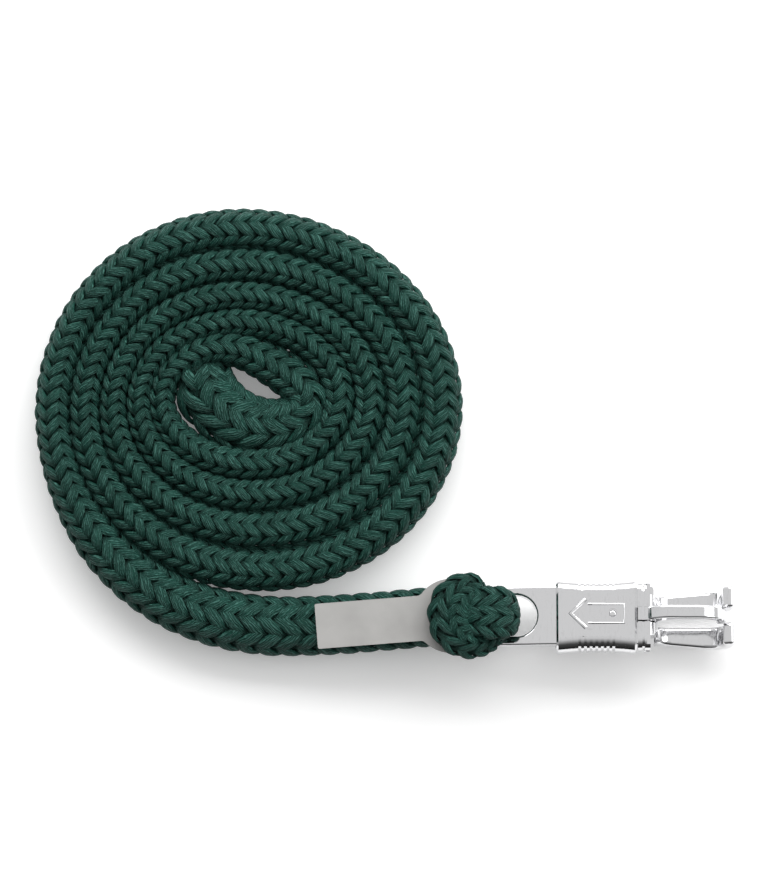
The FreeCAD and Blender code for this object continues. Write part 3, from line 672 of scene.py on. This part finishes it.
def raised_line(name, corners, half_width, height, finish):
    """A half-round line standing on the sleeve's upper face."""
    curve = bpy.data.curves.new(name, "CURVE")
    curve.dimensions = "3D"
    spline = curve.splines.new("POLY")
    spline.points.add(len(corners) - 1)
    for slot, (x, y) in zip(spline.points, corners):
        slot.co = (x, y, 0.0, 1.0)
    curve.bevel_depth = half_width
    curve.bevel_resolution = 4
    curve.use_fill_caps = True
    holder = bpy.data.objects.new(name, curve)
    bpy.context.scene.collection.objects.link(holder)
    mesh = bpy.data.meshes.new_from_object(holder)
    bpy.data.objects.remove(holder)
    bpy.data.curves.remove(curve)
    bm = bmesh.new()
    bm.from_mesh(mesh)
    bmesh.ops.scale(bm, verts=bm.verts, vec=(1.0, 1.0, height / half_width))
    bmesh.ops.translate(bm, verts=bm.verts, vec=(0.0, 0.0, FACE_LEVEL))
    bmesh.ops.rotate(bm, verts=bm.verts, cent=(0, 0, 0), matrix=Matrix.Rotation(-ROLL, 3, "X"))
    bmesh.ops.translate(bm, verts=bm.verts, vec=(0.0, 0.0, SNAP_LEVEL))
    bmesh.ops.recalc_face_normals(bm, faces=bm.faces)
    bm.to_mesh(mesh)
    bm.free()
    mesh.polygons.foreach_set("use_smooth", [True] * len(mesh.polygons))
    mesh.materials.clear()
    mesh.materials.append(finish)
    piece = linked_piece(name, mesh)
    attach(piece, "sleeve")


# ---------------------------------------------------------------- set

def add_light(name, place, target, size, power):
    data = bpy.data.lights.new(name, "AREA")
    data.shape = "RECTANGLE"
    data.size, data.size_y = size
    data.energy = power
    light = bpy.data.objects.new(name, data)
    light.location = place
    light.rotation_euler = (Vector(target) - Vector(place)).to_track_quat("-Z", "Y").to_euler()
    bpy.context.scene.collection.objects.link(light)


# How bright the studio is from -Y to +Y, which the rolled chrome faces mirror.
STUDIO = (
    (0.0, 0.02), (0.18, 0.08), (0.38, 0.46), (0.50, 0.72), (0.68, 0.80), (0.84, 0.92), (1.0, 0.95),
)
STUDIO_STRENGTH = 0.98
FLOOR_HALF = 4.0
FLOOR_LEVEL = -0.0002


def make_set():
    bm = bmesh.new()
    bmesh.ops.create_grid(bm, x_segments=1, y_segments=1, size=FLOOR_HALF)
    mesh = bpy.data.meshes.new("floor")
    bm.to_mesh(mesh)
    bm.free()
    floor = bpy.data.objects.new("floor", mesh)
    floor.location = (0, 0, FLOOR_LEVEL)
    bpy.context.scene.collection.objects.link(floor)
    material, nodes, links, shader = new_material("floor_white")
    shader.inputs["Base Color"].default_value = (0.93, 0.93, 0.93, 1.0)
    shader.inputs["Roughness"].default_value = 0.9
    shader.inputs["Specular IOR Level"].default_value = 0.0
    shader.inputs["Emission Color"].default_value = (1.0, 1.0, 1.0, 1.0)
    shader.inputs["Emission Strength"].default_value = 0.20
    mesh.materials.append(material)

    world = bpy.data.worlds.new("studio")
    bpy.context.scene.world = world
    world.use_nodes = True
    nodes, links = world.node_tree.nodes, world.node_tree.links
    backing = nodes["Background"]
    place = nodes.new("ShaderNodeTexCoord")
    split = nodes.new("ShaderNodeSeparateXYZ")
    links.new(place.outputs["Generated"], split.inputs[0])
    ramp = nodes.new("ShaderNodeValToRGB")
    stops = ramp.color_ramp.elements
    for stop, (position, level) in ((stops[0], STUDIO[0]), (stops[1], STUDIO[-1])):
        stop.position = position
        stop.color = (level, level, level, 1)
    for position, level in STUDIO[1:-1]:
        stops.new(position).color = (level, level, level, 1)
    lean = nodes.new("ShaderNodeMath")
    lean.operation = "MULTIPLY_ADD"
    lean.inputs[1].default_value = 0.5
    lean.inputs[2].default_value = 0.5
    links.new(split.outputs["Y"], lean.inputs[0])
    links.new(lean.outputs[0], ramp.inputs[0])
    links.new(ramp.outputs[0], backing.inputs["Color"])
    backing.inputs["Strength"].default_value = STUDIO_STRENGTH

    add_light("key", (0.00, 0.88, 0.70), (-0.10, 0.08, 0), (1.7, 0.6), 15)
    add_light("fill", (1.25, 0.3, 0.9), (-0.10, 0.06, 0), (1.0, 1.0), 6)
    bpy.context.scene.view_settings.view_transform = "Standard"


# ---------------------------------------------------------------- everything

add_camera()
filaments = filament_group()
plating = wear_group()
cover = rope_material(filaments)
inside = core_material()
make_rope(cover, inside)
make_splice(cover, inside)

chrome = metal_material("bright_chrome", plating, (0.74, 0.74, 0.75, 1.0), 0.08, 0.22, 0.0002)
steel = metal_material("drawn_steel", plating, (0.62, 0.62, 0.63, 1.0), 0.22, 0.40, 0.0001)
tag = tag_material()
FINISHES = {
    "snap_body": chrome, "jaw": chrome, "sleeve": chrome, "jaw_pin": steel, "sleeve_stop_pin": chrome,
    "sleeve_spring": steel, "name_tag": tag,
}
for name, finish in FINISHES.items():
    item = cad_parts[name]
    if not item.material_slots:
        item.data.materials.append(finish)
    for slot in item.material_slots:
        slot.material = finish

raised_line("arrow_head", ARROW_HEAD, 0.0010, 0.00062, chrome)
raised_line("arrow_shaft", ARROW_SHAFT, 0.0005, 0.00048, chrome)
make_set()
